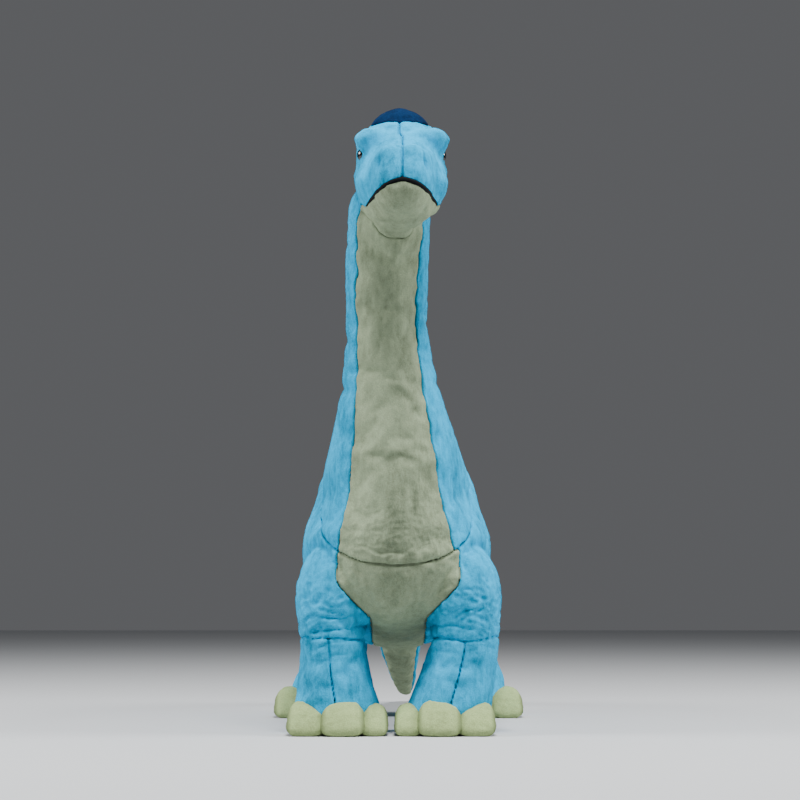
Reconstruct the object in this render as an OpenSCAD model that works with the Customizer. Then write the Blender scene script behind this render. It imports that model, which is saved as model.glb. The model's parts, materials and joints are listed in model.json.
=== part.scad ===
// Stuffed long-necked dinosaur.
// Sewn fabric panels stand over blocks of stuffing. The body flexes at seven seams, and at each
// seam a rounded end of one block of stuffing turns in a hollow of the next.
// The animal faces -Y and stands on the plane z = 0. Its own left side is +X.

/* [Body] */
// Height from the floor to the crown
total_height = 380; // [300:5:460]
// How far the middle of the neck leans to the animal's right
neck_sway = 7; // [0:0.5:12]
// Turn of the head towards the animal's left, in degrees
head_turn = 4; // [0:1:8]
// How far the front feet stand to the animal's right
front_lean = 4.2; // [0:0.2:8]
// Thickness of the plush fabric
fabric = 2; // [1:0.25:3]
// Room between the fabric and the stuffing
slack = 1.2; // [0.8:0.1:1.5]
// Turn around the body that a seam leaves open between two panels, in degrees
seam_turn = 0.4; // [0.2:0.1:0.8]

/* [Joints] */
// Bend of the neck to either side of rest, in degrees
neck_swing = 10; // [2:1:12]
// Nod of the head to either side of rest, in degrees
head_swing = 12; // [2:1:14]
// Swing of the tail to either side of rest, in degrees
tail_swing = 14; // [2:1:16]
// Swing of a leg to either side of rest, in degrees
leg_swing = 8; // [2:1:10]
// Room between the rounded end of one block of stuffing and the next block
ball_room = 0.8; // [0.5:0.1:1.5]

/* [Face] */
// Diameter of each eye
eye_d = 8; // [5:0.5:10]
// How far an eye stands out of the fabric
eye_dome = 2.6; // [1.5:0.1:4]
// Diameter of the stem behind each eye
stem_d = 3; // [2:0.5:4]
// Diameter of the washer that locks each eye
washer_d = 10; // [8:0.5:12]

/* [Feet] */
// Thickness of each sole
sole_t = 1.6; // [1:0.2:2.4]
// Height of the toes
toe_h = 21; // [14:1:24]
// Radius of the bag of pellets in each foot
pellets_r = 17; // [12:0.5:18]
// Height of the bag of pellets
pellets_h = 13; // [8:1:15]

/* [Hidden] */
k = total_height / 380;
skin_in = fabric + slack;

// A station is one cross section of the body, listed from the snout towards the tail, or down a leg:
// [x of its middle, y and z of its belly point, y and z of its back point, half width,
//  angle of the seam beside the back stripe, angle of the seam beside the underside, squareness]
// Angles are measured from the back point towards the animal's left.
STRIPE = 6;
UNDER = 7;
SQUARE = 8;

HEAD = [
    [2.5, -228, 316, -227, 334,  9,   2,  88, 2.2],
    [2.5, -223, 309, -219, 342, 15,   2, 102, 2.3],
    [2.5, -210, 304, -206, 350, 18,   2, 107, 2.3],
    [2.0, -197, 301, -194, 358, 22,   2, 109, 2.3],
    [1.5, -184, 299, -183, 369, 26,   3, 117, 2.2],
    [1.0, -171, 302, -169, 380, 27,  38, 124, 1.9],
    [0.5, -157, 308, -155, 378, 25,  36, 126, 1.9],
    [0.0, -146, 318, -141, 365, 21,  34, 126, 2.0],
    [0.0, -139, 332, -135, 351, 10,  34, 126, 2.0]
];

SPINE = [
    [-0.70 * neck_sway, -184, 307, -136, 337, 23.5, 32, 128, 2.1],
    [-0.95 * neck_sway, -184, 283, -135, 301, 24,   30, 130, 2.1],
    [-1.05 * neck_sway, -183, 257, -133, 269, 23.5, 30, 132, 2.1],
    [-0.95 * neck_sway, -182, 230, -129, 242, 24,   29, 133, 2.1],
    [-0.70 * neck_sway, -184, 199, -120, 221, 28,   28, 135, 2.1],
    [-0.45 * neck_sway, -187, 163, -108, 202, 35,   26, 137, 2.1],
    [-0.35 * neck_sway, -188, 131, -97,  188, 42,   24, 138, 2.2],
    [-0.20 * neck_sway, -186, 100, -86,  178, 49.5, 22, 138, 2.3],
    [-1.0, -178, 84, -81,  178, 53.5, 22, 140, 2.3],
    [-1.2, -165, 69, -75,  177, 56.5, 21, 165, 2.2],
    [-1.2, -116, 56, -58,  175, 58.5, 20, 166, 2.2],
    [-1.2,  -62, 51, -32,  174, 60,   19, 167, 2.2],
    [-0.8,   -8, 50,   6,  170, 61.5, 19, 167, 2.2],
    [0,   36, 51,  46,  161, 61.5, 20, 167, 2.2],
    [0,   70, 66,  84,  146, 50,   21, 161, 2.2],
    [0,   88, 82, 112,  128, 34,   22, 143, 2.2],
    [0,  110, 66, 138,  106, 25,   23, 130, 2.1],
    [0,  136, 48, 160,   80, 18.5, 24, 126, 2.1],
    [1,  165, 31, 182,   55, 13.5, 25, 123, 2.1],
    [3,  194, 16, 204,   34,  9.5, 26, 121, 2.0],
    [5,  217,  7, 221,   20,  6.5, 26, 120, 2.0],
    [6,  229,  5, 230,   13,  4,   26, 120, 2.0]
];
CHEST = 7;
RUMP = 15;
TAIL_TIP = 21;

FRONT_LEG = [
    [40.0, -175, 98, -125, 98, 18.0, 0, 0, 2.4],
    [40.5, -176, 74, -126, 74, 19.3, 0, 0, 2.4],
    [40.7, -175, 56, -129, 56, 18.8, 0, 0, 2.4],
    [38.5, -176, 38, -130, 38, 20.3, 0, 0, 2.4],
    [34.5, -179, 20, -128, 20, 23.2, 0, 0, 2.4],
    [31.5, -181,  2, -126,  2, 26.5, 0, 0, 2.4],
    [31.5, -181, -3, -126, -3, 26.5, 0, 0, 2.4]
];
HIND_LEG = [
    [43.0,  10, 98,  64, 98, 18.5, 0, 0, 2.4],
    [43.5,  10, 74,  66, 74, 20.0, 0, 0, 2.4],
    [44.3,  12, 56,  65, 56, 19.8, 0, 0, 2.4],
    [45.8,  11, 38,  63, 38, 20.4, 0, 0, 2.4],
    [50.0,   9, 20,  63, 20, 23.5, 0, 0, 2.4],
    [54.5,   7,  2,  64,  2, 27.5, 0, 0, 2.4],
    [54.5,   7, -3,  64, -3, 27.5, 0, 0, 2.4]
];
HIP = 1;
ANKLE = 5;

// A toe: [offset from the middle of the foot, how far back it stands, half width, share of the height]
TOES = [[-21.3, 5, 6.8, 0.86], [-2.9, 0, 11.3, 1.06], [18.7, 4, 9.9, 0.97]];

// A pivot: [y, z, turn of its stuffing's direction about X from straight down, radius]
NECK_PIVOT = [-136, 139, 218, 42];
HEAD_PIVOT = [-160, 322, 32, 17];
TAIL_PIVOT = [100, 105, 62, 20];
FRONT_PIVOT = [-151, 74, 0, 19];
HIND_PIVOT = [38, 74, 0, 21];
HEAD_REACH = 36.5;
LEG_REACH = 36;
FAR = 280;

// The rounded top of a leg's stuffing: its place beside the middle of the leg, and its width
HIP_BALL = [-6.5, 18];

// Height of the rounded end of the tail's stuffing
TAIL_BALL = 32;

// Middle of the left eye, from the middle of the head, and how far it looks forwards and upwards,
// on a head that isn't turned
EYE = [24, -187, 347];
EYE_FORWARD = 7;
EYE_UP = 8;

LEGS = ["front_left", "front_right", "hind_left", "hind_right"];
LEG_PIECES = ["leg_outer", "leg_inner", "leg_stuffing", "pellets", "sole", "toes"];

BLUE = "#3FA9DC";
GREY = "#9A9C8A";
NAVY = "#1E3A66";
BLACK = "#0D1420";
CREAM = "#D9DCC8";
FIBRE = "#F2F2EE";

// ---- sections and lofts ----

function row_at(rows, i) = rows[min(max(i, 0), len(rows) - 1)];

function curve(a, b, c, d, t) =
    0.5 * (2 * b + (c - a) * t + (2 * a - 5 * b + 4 * c - d) * t * t + (3 * b - a - 3 * c + d) * t * t * t);

function station(rows, s) =
    let (i = min(floor(s), len(rows) - 2))
    curve(row_at(rows, i - 1), row_at(rows, i), row_at(rows, i + 1), row_at(rows, i + 2), s - i);

function bend(v, square) = sign(v) * pow(abs(v), 2 / square);

function point(st, turn, inset) =
    let (
        belly = [st[1], st[2]],
        back = [st[3], st[4]],
        half = norm(back - belly) / 2,
        up = (back - belly) / (2 * half),
        middle = (back + belly) / 2,
        across = (st[5] - inset) * bend(sin(turn), st[SQUARE]),
        along = (half - inset) * bend(cos(turn), st[SQUARE])
    )
    k * [st[0] + across, middle[0] + up[0] * along, middle[1] + up[1] * along];

// The first and last turn of a panel at a station
function panel_turns(st, face) =
    face == "left" ? [st[STRIPE], st[UNDER]]
    : face == "right" ? [-st[UNDER], -st[STRIPE]]
    : face == "stripe" ? [-st[STRIPE], st[STRIPE]]
    : face == "under" ? [st[UNDER], 360 - st[UNDER]]
    : face == "lips" ? [st[UNDER] - 2.5, st[UNDER] + 2.5]
    : face == "outer" ? [0, 180] : [180, 360];

// One sewn panel: a curved sheet of fabric between two stations and two seams
module panel(rows, first, last, face, rings, columns, inset = 0, thick = fabric) {
    wide = columns + 1;
    layer = (rings + 1) * wide;
    points = [
        for (depth = [inset, inset + thick])
        for (i = [0:rings])
        let (
            st = station(rows, first + (last - first) * i / rings),
            turns = panel_turns(st, face) + [seam_turn, -seam_turn]
        )
        for (j = [0:columns])
        point(st, turns[0] + (turns[1] - turns[0]) * j / columns, depth)
    ];
    sheets = [
        for (i = [0:rings - 1])
        for (j = [0:columns - 1])
        let (a = i * wide + j, b = a + wide)
        each [
            [a, b, b + 1], [a, b + 1, a + 1],
            [layer + a, layer + b + 1, layer + b], [layer + a, layer + a + 1, layer + b + 1]
        ]
    ];
    ends = [
        for (j = [0:columns - 1])
        let (a = j, b = rings * wide + j)
        each [
            [a, a + 1, layer + a + 1], [a, layer + a + 1, layer + a],
            [b, layer + b + 1, b + 1], [b, layer + b, layer + b + 1]
        ]
    ];
    sides = [
        for (i = [0:rings - 1])
        let (a = i * wide, b = a + columns)
        each [
            [a, layer + a, layer + a + wide], [a, layer + a + wide, a + wide],
            [b, layer + b + wide, layer + b], [b, b + wide, layer + b + wide]
        ]
    ];
    polyhedron(points, concat(sheets, ends, sides), convexity = 6);
}

// A closed body between two stations
module loft(rows, first, last, rings, columns, inset) {
    points = [
        for (i = [0:rings])
        let (st = station(rows, first + (last - first) * i / rings))
        for (j = [0:columns - 1])
        point(st, 360 * j / columns, inset)
    ];
    sheets = [
        for (i = [0:rings - 1])
        for (j = [0:columns - 1])
        let (a = i * columns + j, b = i * columns + (j + 1) % columns)
        each [[a, a + columns, b + columns], [a, b + columns, b]]
    ];
    first_end = [for (j = [0:columns - 1]) j];
    last_end = [for (j = [columns - 1:-1:0]) rings * columns + j];
    polyhedron(points, concat(sheets, [first_end], [last_end]), convexity = 4);
}

// ---- pivots ----

// The side of a pivot where its rounded stuffing lies, spread by an angle.
// The shape is drawn along +X and the pivot runs along Z.
module side_block(spread, reach, span) {
    linear_extrude(height = k * span, center = true) polygon([
        [0, 0],
        for (i = [-5:5]) k * reach * [cos(i * (90 + spread) / 5), sin(i * (90 + spread) / 5)]
    ]);
}

// Places a pivot that runs across the body
module at_pivot(pivot, x = 0) {
    translate(k * [x, pivot[0], pivot[1]]) rotate([pivot[2], 0, 0]) rotate([0, 90, 0]) children();
}

// Places the pivot of the tail, which stands up through its root
module at_tail() {
    translate(k * [0, TAIL_PIVOT[0], TAIL_PIVOT[1]]) rotate([TAIL_PIVOT[2] - 90, 0, 0])
        rotate([0, 0, 90]) children();
}

module swing_room(pivot, swing, reach = FAR, span = FAR) {
    cylinder(r = k * pivot[3] + ball_room, h = k * span, center = true);
    side_block(swing + 1, reach, span);
}

module hip_ball(rows, pivot, room) {
    at_pivot(pivot, rows[HIP][0] + HIP_BALL[0])
        cylinder(r = k * pivot[3] + room, h = k * HIP_BALL[1] + 2 * room, center = true);
}

module leg_room(rows, pivot) {
    hip_ball(rows, pivot, ball_room);
    at_pivot(pivot, rows[HIP][0]) side_block(leg_swing + 1, LEG_REACH, 2 * (rows[HIP][5] + 1.5));
}

module all_leg_room() {
    for (side = [0, 1]) mirror([side, 0, 0]) {
        leg_room(FRONT_LEG, FRONT_PIVOT);
        leg_room(HIND_LEG, HIND_PIVOT);
    }
}

module head_room() {
    at_pivot(HEAD_PIVOT, SPINE[0][0]) swing_room(HEAD_PIVOT, head_swing, HEAD_REACH, 2 * SPINE[0][5] + 6);
}

// ---- head ----

// Runs along +X from the middle of the left eye
module at_eye(side) {
    translate(k * [side * EYE[0] + HEAD[3][0], EYE[1] + side * EYE[0] * sin(head_turn), EYE[2]])
        rotate([0, side * (90 - EYE_UP), head_turn - side * EYE_FORWARD]) children();
}

module eye_hole(side) {
    at_eye(side) {
        cylinder(d = eye_d + 0.6, h = 12);
        translate([0, 0, -12]) cylinder(d = stem_d + 0.4, h = 13);
    }
}

module head_side(face, side) {
    difference() {
        panel(HEAD, 0, 8, face, 12, 7);
        head_room();
        eye_hole(side);
    }
}

module head_left() { color(BLUE) head_side("left", 1); }

module head_right() { color(BLUE) head_side("right", -1); }

module crown_panel() {
    color(NAVY) difference() {
        panel(HEAD, 4, 8, "stripe", 6, 6);
        head_room();
    }
}

module jaw_panel() {
    color(GREY) difference() {
        panel(HEAD, 0, 8, "under", 12, 8);
        head_room();
    }
}

// A dark strip behind the lips, from one corner of the mouth to the other
module mouth_strip() {
    color(BLACK) for (turn = [0, 1]) {
        translate(k * [turn * 2 * HEAD[1][0], 0, 0]) mirror([turn, 0, 0])
            panel(HEAD, 2 / 3, 8 / 3, "lips", 3, 1, fabric + 0.2, 0.5);
    }
}

module head_stuffing() {
    color(FIBRE) difference() {
        loft(HEAD, 0.3, 7.7, 10, 18, skin_in + 0.4);
        head_room();
        for (side = [-1, 1]) at_eye(side) translate([0, 0, -12]) cylinder(d = washer_d + 1, h = 14);
    }
}

// A domed eye on a stem
module eye(side) {
    dome_r = (eye_d * eye_d / 4 + eye_dome * eye_dome) / (2 * eye_dome);
    at_eye(side) {
        translate([0, 0, 0.3]) intersection() {
            translate([0, 0, eye_dome - dome_r]) sphere(r = dome_r, $fn = 40);
            cylinder(d = eye_d, h = eye_dome + 1, $fn = 40);
        }
        translate([0, 0, -10.5]) cylinder(d = stem_d, h = 11.1, $fn = 24);
    }
}

module eye_washer(side) {
    at_eye(side) translate([0, 0, -8.5]) difference() {
        cylinder(d = washer_d, h = 1.5, $fn = 32);
        translate([0, 0, -1]) cylinder(d = stem_d, h = 4, $fn = 24);
    }
}

module eye_left() { color(BLACK) eye(1); }

module eye_right() { color(BLACK) eye(-1); }

module eye_washer_left() { color("white") eye_washer(1); }

module eye_washer_right() { color("white") eye_washer(-1); }

// ---- neck ----

NECK_END = CHEST - 0.02;

module neck_left() { color(BLUE) panel(SPINE, 0, NECK_END, "left", 12, 6); }

module neck_right() { color(BLUE) panel(SPINE, 0, NECK_END, "right", 12, 6); }

module neck_stripe() { color(NAVY) panel(SPINE, 0, NECK_END, "stripe", 12, 3); }

module throat_panel() { color(GREY) panel(SPINE, 0, NECK_END, "under", 12, 5); }

module neck_stuffing() {
    color(FIBRE) {
        intersection() {
            loft(SPINE, 0.02, CHEST + 0.5, 14, 18, skin_in);
            at_pivot(NECK_PIVOT) side_block(-neck_swing - 2, FAR, FAR);
        }
        intersection() {
            loft(SPINE, CHEST - 2, CHEST + 3, 10, 18, skin_in + 4.5);
            at_pivot(NECK_PIVOT)
                cylinder(r = k * NECK_PIVOT[3], h = 2 * k * (SPINE[CHEST][5] - 9), center = true);
        }
        at_pivot(HEAD_PIVOT, SPINE[0][0]) cylinder(r = k * HEAD_PIVOT[3], h = k * 30, center = true);
    }
}

// ---- body ----

module body_panel(face, columns) {
    difference() {
        panel(SPINE, CHEST + 0.02, RUMP - 0.02, face, 12, columns);
        all_leg_room();
    }
}

module body_left() { color(BLUE) body_panel("left", 8); }

module body_right() { color(BLUE) body_panel("right", 8); }

module back_stripe() { color(NAVY) panel(SPINE, CHEST + 0.02, RUMP - 0.02, "stripe", 12, 3); }

module belly_panel() { color(GREY) body_panel("under", 5); }

module body_stuffing() {
    color(FIBRE) difference() {
        loft(SPINE, CHEST, RUMP, 12, 20, skin_in + 0.7);
        at_pivot(NECK_PIVOT) swing_room(NECK_PIVOT, neck_swing);
        at_tail() swing_room(TAIL_PIVOT, tail_swing);
        all_leg_room();
    }
}

// ---- tail ----

module tail_left() { color(BLUE) panel(SPINE, RUMP + 0.02, TAIL_TIP, "left", 10, 5); }

module tail_right() { color(BLUE) panel(SPINE, RUMP + 0.02, TAIL_TIP, "right", 10, 5); }

module tail_stripe() { color(NAVY) panel(SPINE, RUMP + 0.02, TAIL_TIP, "stripe", 10, 2); }

module tail_under() { color(GREY) panel(SPINE, RUMP + 0.02, TAIL_TIP, "under", 10, 4); }

module tail_stuffing() {
    color(FIBRE) {
        intersection() {
            loft(SPINE, RUMP - 0.4, TAIL_TIP - 1.5, 12, 16, skin_in);
            at_tail() side_block(-tail_swing - 3, FAR, FAR);
        }
        intersection() {
            loft(SPINE, RUMP - 1.5, RUMP + 1.2, 6, 16, skin_in + 2);
            at_tail() cylinder(r = k * TAIL_PIVOT[3], h = k * TAIL_BALL, center = true);
        }
    }
}

// ---- legs ----

// Leg pieces are drawn for the animal's left, and mirrored for its right.

module leg_panel(rows, face) { panel(rows, HIP + 0.02, ANKLE, face, 7, 8); }

module leg_stuffing(rows, pivot) {
    floor_z = sole_t + pellets_h + 1;
    intersection() {
        loft(rows, 0, ANKLE, 9, 18, skin_in);
        union() {
            hip_ball(rows, pivot, 0);
            at_pivot(pivot, rows[HIP][0]) side_block(0, FAR, FAR);
        }
        translate([0, k * rows[HIP][1] - 60, floor_z]) cube([120, 240, 120]);
    }
}

function foot_middle(rows) = [rows[ANKLE][0], (rows[ANKLE][1] + rows[ANKLE][3]) / 2];

module pellets(rows) {
    middle = foot_middle(rows);
    translate([k * middle[0], k * middle[1], sole_t + 0.5]) cylinder(r = pellets_r, h = pellets_h, $fn = 48);
}

module sole(rows) {
    outline = [for (turn = [0:12:348]) let (p = point(rows[ANKLE], turn, 0.4)) [p[0], p[1]]];
    linear_extrude(height = sole_t) polygon(outline);
}

function toe_rows(x, y, half, height) = [
    [x, y,      3, y + 0.5, 6,             0.55 * half, 0, 0, 2.3],
    [x, y + 2,  0, y + 3,   0.56 * height, 0.90 * half, 0, 0, 2.5],
    [x, y + 7,  0, y + 9,   0.84 * height, half,        0, 0, 2.6],
    [x, y + 14, 0, y + 16,  height,        half,        0, 0, 2.6],
    [x, y + 24, 0, y + 25,  0.98 * height, half,        0, 0, 2.6]
];

// Three padded toes in a row across the front of the foot
module toes(rows) {
    front = rows[ANKLE][1] - 9;
    for (toe = TOES) difference() {
        loft(toe_rows(rows[ANKLE][0] + toe[0], front + toe[1], toe[2], toe[3] * toe_h), 0, 4, 6, 14, 0);
        loft(rows, 3, 6, 8, 24, -0.4);
    }
}

// A leg's stations with its foot shifted sideways
function leaning(rows, shift) = [
    for (i = [0:len(rows) - 1])
    concat([rows[i][0] + shift * min(max(i - 1.5, 0) / 3.5, 1)], [for (j = [1:SQUARE]) rows[i][j]])
];

module leg_piece(leg, piece) {
    rows = leg < 2 ? leaning(FRONT_LEG, (2 * leg - 1) * front_lean) : HIND_LEG;
    pivot = leg < 2 ? FRONT_PIVOT : HIND_PIVOT;
    mirror([leg % 2, 0, 0]) {
        if (piece == "leg_outer") color(BLUE) leg_panel(rows, "outer");
        if (piece == "leg_inner") color(BLUE) leg_panel(rows, "inner");
        if (piece == "leg_stuffing") color(FIBRE) leg_stuffing(rows, pivot);
        if (piece == "pellets") color("white") pellets(rows);
        if (piece == "sole") color(GREY) sole(rows);
        if (piece == "toes") color(CREAM) toes(rows);
    }
}

head_left();
head_right();
crown_panel();
jaw_panel();
mouth_strip();
head_stuffing();
eye_left();
eye_right();
eye_washer_left();
eye_washer_right();
neck_left();
neck_right();
neck_stripe();
throat_panel();
neck_stuffing();
body_left();
body_right();
back_stripe();
belly_panel();
body_stuffing();
tail_left();
tail_right();
tail_stripe();
tail_under();
tail_stuffing();
for (leg = [0:3]) for (piece = LEG_PIECES)
    leg_piece(leg, piece);
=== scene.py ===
"""A stuffed long-necked dinosaur: plush panels sewn over stuffing, with toes, eyes and a stage."""

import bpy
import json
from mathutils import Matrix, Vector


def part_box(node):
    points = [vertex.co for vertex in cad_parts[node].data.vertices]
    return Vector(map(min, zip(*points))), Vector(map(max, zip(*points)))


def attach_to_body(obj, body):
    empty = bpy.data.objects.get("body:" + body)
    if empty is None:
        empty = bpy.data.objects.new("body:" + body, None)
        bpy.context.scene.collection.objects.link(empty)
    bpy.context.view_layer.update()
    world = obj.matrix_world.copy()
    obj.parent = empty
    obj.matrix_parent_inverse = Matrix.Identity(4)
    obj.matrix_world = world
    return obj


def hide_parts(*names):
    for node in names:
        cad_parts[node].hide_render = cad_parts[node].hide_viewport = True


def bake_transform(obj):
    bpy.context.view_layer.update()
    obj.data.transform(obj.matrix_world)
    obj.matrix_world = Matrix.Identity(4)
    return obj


bl_info = {
    "name": "Stuffed Dinosaur",
    "version": (1, 0, 0),
    "blender": (4, 5, 0),
    "location": "View3D > Sidebar > Dinosaur",
    "description": "Sews a plush dinosaur around its packed frame",
    "category": "Object",
}

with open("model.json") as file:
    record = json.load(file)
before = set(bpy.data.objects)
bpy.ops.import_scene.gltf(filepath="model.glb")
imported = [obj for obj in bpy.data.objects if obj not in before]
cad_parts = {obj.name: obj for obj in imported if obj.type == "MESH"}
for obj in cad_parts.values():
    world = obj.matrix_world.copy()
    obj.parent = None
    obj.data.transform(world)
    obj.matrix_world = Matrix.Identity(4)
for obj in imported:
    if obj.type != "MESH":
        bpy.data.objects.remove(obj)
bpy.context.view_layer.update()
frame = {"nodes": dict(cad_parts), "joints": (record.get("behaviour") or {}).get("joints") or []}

import json
import math

import bmesh
import bpy
import numpy as np
from bpy.props import FloatProperty, FloatVectorProperty, IntProperty, PointerProperty
from mathutils import Euler, Vector, noise
from mathutils.bvhtree import BVHTree

MM = 0.001
LEGS = ("front_left", "front_right", "hind_left", "hind_right")
JOINTS = {joint["name"]: joint for joint in frame["joints"]}

# Each sewn panel, with the finish that it is cut from
BLUE_PANELS = ["head_left", "head_right", "neck_left", "neck_right", "body_left", "body_right",
               "tail_left", "tail_right"]
GREY_PANELS = ["jaw_panel", "throat_panel", "belly_panel", "tail_under"]
NAVY_PANELS = ["crown_panel", "neck_stripe", "back_stripe", "tail_stripe"]
LEG_PANELS = [leg + part for leg in LEGS for part in ("_leg_outer", "_leg_inner")]
SOLES = [leg + "_sole" for leg in LEGS]
PANELS = BLUE_PANELS + GREY_PANELS + NAVY_PANELS + LEG_PANELS + SOLES
STUFFING = ["head_stuffing", "neck_stuffing", "body_stuffing", "tail_stuffing"]
STUFFING += [leg + "_leg_stuffing" for leg in LEGS]

# The cloth simulation of the skin: its frames, its air pressure and how far it may move a point
CLOTH_FRAMES = 18
CLOTH_PRESSURE = 3.0
CLOTH_REACH = 5 * MM

# Each studio lamp: its place in metres, its width in metres and its power in watts
LAMPS = {
    "front": ((0.08, -0.62, 1.5), 0.45, 43),
    "left": ((-1.15, -0.3, 0.75), 0.5, 18),
    "right": ((1.15, -0.25, 0.8), 0.5, 19),
}
LIT_SPOT = (0, -0.1, 0.2)

# The camera: its place in metres, how far it looks up in degrees, and its lens in millimetres
CAMERA_PLACE = (0.001, -1.40, 0.080)
CAMERA_LIFT = 5.58
CAMERA_LENS = 92
CAMERA_SENSOR = 36


# ---- colours and nodes ----

def linear(hex_colour):
    """An sRGB hex colour as linear RGBA."""
    channels = [int(hex_colour[i:i + 2], 16) / 255 for i in (1, 3, 5)]
    return tuple(c / 12.92 if c <= 0.04045 else ((c + 0.055) / 1.055) ** 2.4 for c in channels) + (1.0,)


class ToyColours(bpy.types.PropertyGroup):
    """The colours of the fabrics."""

    blue: FloatVectorProperty(
        name="Blue plush", description="Sides, neck and legs", subtype="COLOR", size=4,
        min=0, max=1, default=linear("#00A0CF"))
    grey: FloatVectorProperty(
        name="Grey plush", description="Jaw, throat, belly and soles", subtype="COLOR", size=4,
        min=0, max=1, default=linear("#8A987C"))
    navy: FloatVectorProperty(
        name="Navy plush", description="Crown and back stripe", subtype="COLOR", size=4,
        min=0, max=1, default=linear("#06203F"))
    cream: FloatVectorProperty(
        name="Cream plush", description="Toes", subtype="COLOR", size=4,
        min=0, max=1, default=linear("#99AB76"))
    # the mouth's black felt is painted shade of the slit between the lips
    black: FloatVectorProperty(
        name="Black felt", description="Mouth", subtype="COLOR", size=4,
        min=0, max=1, default=linear("#04060A"))


class ToySizes(bpy.types.PropertyGroup):
    """The sizes of the sewing and of the pile."""

    voxel: FloatProperty(
        name="Fabric grid", description="Spacing of the fabric's grid before it is refined",
        subtype="DISTANCE", default=3.4 * MM, min=2.5 * MM, max=8 * MM)
    refine: IntProperty(
        name="Refinement", description="How often the grid is halved for the pile", default=2, min=0, max=2)
    seam_depth: FloatProperty(
        name="Seam depth", description="How deep a seam pulls the pile in", subtype="DISTANCE",
        default=1.5 * MM, min=0.0, max=4 * MM)
    puff: FloatProperty(
        name="Puff", description="How far stuffing pushes a panel out between its seams", subtype="DISTANCE",
        default=0.9 * MM, min=0.0, max=4 * MM)
    nap: FloatProperty(
        name="Nap relief", description="Height of the brushed clumps of pile", subtype="DISTANCE",
        default=0.30 * MM, min=0.0, max=2 * MM)
    crinkle: FloatProperty(
        name="Crinkle relief", description="Height of the crushed pile where the body folds",
        subtype="DISTANCE", default=1.9 * MM, min=0.0, max=3 * MM)
    fold_depth: FloatProperty(
        name="Leg fold depth", description="Depth of the folds where the body bends over the legs",
        subtype="DISTANCE", default=2.0 * MM, min=0.0, max=4 * MM)
    mouth_arch: FloatProperty(
        name="Mouth arch", description="How far the corners of the mouth lie under its middle",
        subtype="DISTANCE", default=9 * MM, min=0.0, max=15 * MM)
    chest_width: FloatProperty(
        name="Chest width", description="Width of the belly panel at its widest, on the chest",
        subtype="DISTANCE", default=73 * MM, min=40 * MM, max=90 * MM)
    belly_width: FloatProperty(
        name="Belly width", description="Width of the belly panel between the legs",
        subtype="DISTANCE", default=33 * MM, min=16 * MM, max=60 * MM)
    fabric: FloatProperty(
        name="Fabric thickness", description="Backing and the root of the pile", subtype="DISTANCE",
        default=1.4 * MM, min=0.5 * MM, max=3 * MM)


def sizes():
    return bpy.context.scene.toy_sizes


def colours():
    return bpy.context.scene.toy_colours


def add_node(tree, kind, inputs=None, **settings):
    """Adds a shader node, sets it up and links or fills its inputs."""
    made = tree.nodes.new(kind)
    for name, value in settings.items():
        setattr(made, name, value)
    for name, value in (inputs or {}).items():
        if isinstance(value, bpy.types.NodeSocket):
            tree.links.new(value, made.inputs[name])
        else:
            made.inputs[name].default_value = value
    return made


def new_material(name):
    material = bpy.data.materials.new(name)
    material.use_nodes = True
    tree = material.node_tree
    tree.nodes.clear()
    return material, tree


def ramp_between(tree, factor, stops):
    ramp = add_node(tree, "ShaderNodeValToRGB", {"Fac": factor})
    elements = ramp.color_ramp.elements
    while len(elements) < len(stops):
        elements.new(0.5)
    for element, (place, colour) in zip(elements, stops):
        element.position = place
        element.color = colour
    return ramp.outputs["Color"]


def shade(colour, gain, lift=0.0):
    return tuple(min(1.0, c * gain + lift) for c in colour[:3]) + (1.0,)


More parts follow.
